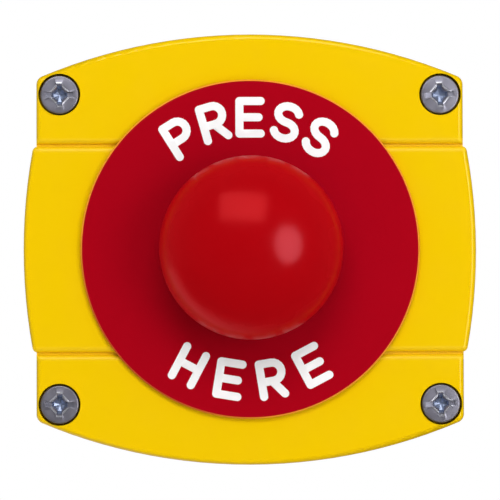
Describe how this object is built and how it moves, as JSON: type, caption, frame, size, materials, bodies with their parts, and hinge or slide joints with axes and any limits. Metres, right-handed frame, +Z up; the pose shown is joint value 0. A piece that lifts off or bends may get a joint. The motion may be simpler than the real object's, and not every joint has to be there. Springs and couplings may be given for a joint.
{
  "type": "mushroom push button",
  "caption": "Wall-mounted call point: a large domed push button in a bowed plastic enclosure, spring-returned onto a closed and an open contact.",
  "frame": {"origin": "centre of the wall face, where the enclosure meets the wall", "axes": "+Z up, +X to the right seen from the front, -Y out of the wall towards the person, so the button is pressed along +Y"},
  "size_m": [0.1002, 0.0869, 0.0954],
  "materials": {
    "cover_plastic": "satin signal yellow, moulded",
    "base_plastic": "fine matt dark grey, moulded",
    "head_plastic": "satin red, moulded",
    "disc_plastic": "smooth red with white print",
    "black_plastic": "satin black, moulded",
    "white_plastic": "satin white, moulded",
    "block_plastic": "matt grey, moulded",
    "seal_rubber": "matt black rubber",
    "zinc_steel": "zinc-plated steel",
    "spring_steel": "drawn spring steel",
    "brass": "turned brass",
    "contact_brass": "stamped brass with contact buttons"
  },
  "bodies": {
    "housing": {"cover": "cover_plastic", "base": "base_plastic", "cover_gasket": "seal_rubber", "cover_screws": "zinc_steel", "screw_seals": "seal_rubber", "screw_inserts": "brass", "legend_disc": "disc_plastic", "flange_seal": "seal_rubber", "operator_bushing": "black_plastic", "stem_seal": "seal_rubber", "lock_nut": "zinc_steel", "contact_carrier": "black_plastic", "contact_block_left": "block_plastic", "contact_block_right": "block_plastic", "block_lid_left": "black_plastic", "block_lid_right": "black_plastic", "fixed_contacts_left": "contact_brass", "fixed_contacts_right": "contact_brass", "terminal_screws": "zinc_steel", "wire_clamps": "zinc_steel", "return_spring": "spring_steel", "contact_spring_left": "spring_steel", "contact_spring_right": "spring_steel"},
    "button": {"mushroom_head": "head_plastic", "plunger_stem": "white_plastic", "retaining_clip": "spring_steel", "actuator_foot": "black_plastic", "foot_screw": "zinc_steel"},
    "contact_left": {"contact_plunger_left": "white_plastic", "contact_bridge_left": "contact_brass"},
    "contact_right": {"contact_plunger_right": "white_plastic", "contact_bridge_right": "contact_brass"}
  },
  "joints": [
    {"name": "button_press", "type": "slide", "parent": "housing", "child": "button", "axis": [0, 1, 0], "range_m": [0, 0.005], "stiffness_N_per_m": 1500, "springref_m": -0.006, "deforming": ["return_spring"]},
    {"name": "contact_left_press", "type": "slide", "parent": "housing", "child": "contact_left", "axis": [0, 1, 0], "range_m": [0, 0.005], "deforming": ["contact_spring_left"]},
    {"name": "contact_right_press", "type": "slide", "parent": "housing", "child": "contact_right", "axis": [0, 1, 0], "range_m": [0, 0.005], "deforming": ["contact_spring_right"]}
  ],
  "couplings": [
    {"joint": "contact_left_press", "follows": "button_press", "ratio": 1},
    {"joint": "contact_right_press", "follows": "button_press", "ratio": 1}
  ]
}
